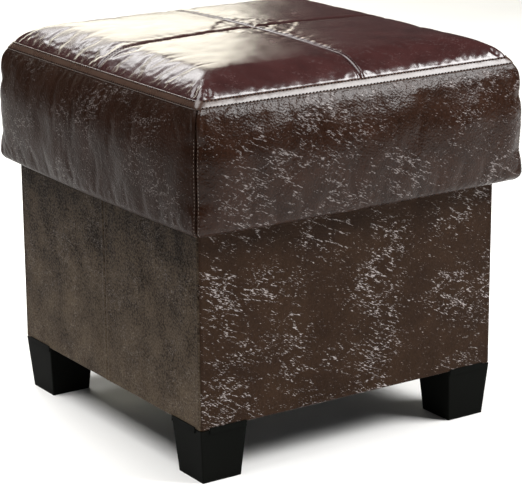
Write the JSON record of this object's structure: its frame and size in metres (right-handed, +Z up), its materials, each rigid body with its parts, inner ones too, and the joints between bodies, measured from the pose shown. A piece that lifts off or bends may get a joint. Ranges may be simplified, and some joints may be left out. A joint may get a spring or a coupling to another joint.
{
  "type": "ottoman with storage",
  "caption": "Square cube-shaped storage ottoman with a padded, panelled brown faux-leather lid hinged at the back, an upholstered box and tapered black feet.",
  "frame": {"origin": "on the floor, under the centre of the lid", "axes": "+Z up; the front faces -Y and the hinged edge is on +Y; X runs from side to side"},
  "size_m": [0.444, 0.444, 0.437],
  "materials": {
    "brown_cover": "glossy crackled grain",
    "particle_board": "raw",
    "plywood": "raw",
    "pine": "sawn",
    "padding": "open-cell foam",
    "black_lining": "non-woven cloth",
    "dust_cloth": "non-woven cloth",
    "foot_plastic": "fine moulded texture",
    "hinge_steel": "zinc plated",
    "zinc_screws": "zinc plated",
    "staple_wire": "galvanised"
  },
  "bodies": {
    "box": {"front_board": "particle_board", "back_board": "particle_board", "left_board": "particle_board", "right_board": "particle_board", "floor_board": "particle_board", "hinge_rail": "pine", "corner_screws": "zinc_screws", "floor_screws": "zinc_screws", "rail_screws": "zinc_screws", "cover_front": "brown_cover", "cover_back": "brown_cover", "cover_left_front": "brown_cover", "cover_left_rear": "brown_cover", "cover_right_front": "brown_cover", "cover_right_rear": "brown_cover", "lining_front": "black_lining", "lining_back": "black_lining", "lining_left": "black_lining", "lining_right": "black_lining", "storage_floor_pad": "black_lining", "box_dust_cover": "dust_cloth", "box_staples": "staple_wire", "foot_front_left": "foot_plastic", "foot_front_right": "foot_plastic", "foot_back_left": "foot_plastic", "foot_back_right": "foot_plastic", "foot_bolts": "zinc_screws", "foot_inserts": "zinc_screws", "hinge_left_box_leaf": "hinge_steel", "hinge_left_pin": "hinge_steel", "hinge_left_box_screws": "zinc_screws", "hinge_right_box_leaf": "hinge_steel", "hinge_right_pin": "hinge_steel", "hinge_right_box_screws": "zinc_screws"},
    "lid": {"lid_board": "plywood", "lid_foam": "padding", "lid_top_front_left": "brown_cover", "lid_top_front_right": "brown_cover", "lid_top_back_left": "brown_cover", "lid_top_back_right": "brown_cover", "lid_band_front": "brown_cover", "lid_band_back": "brown_cover", "lid_band_left": "brown_cover", "lid_band_right": "brown_cover", "lid_dust_cover": "dust_cloth", "lid_staples": "staple_wire", "hinge_left_lid_leaf": "hinge_steel", "hinge_left_lid_screws": "zinc_screws", "hinge_right_lid_leaf": "hinge_steel", "hinge_right_lid_screws": "zinc_screws"}
  },
  "joints": [
    {"name": "lid_hinge", "type": "hinge", "parent": "box", "child": "lid", "pos_m": [0, 0.2034, 0.2732], "axis": [-1, 0, 0], "range_deg": [0, 110]}
  ]
}
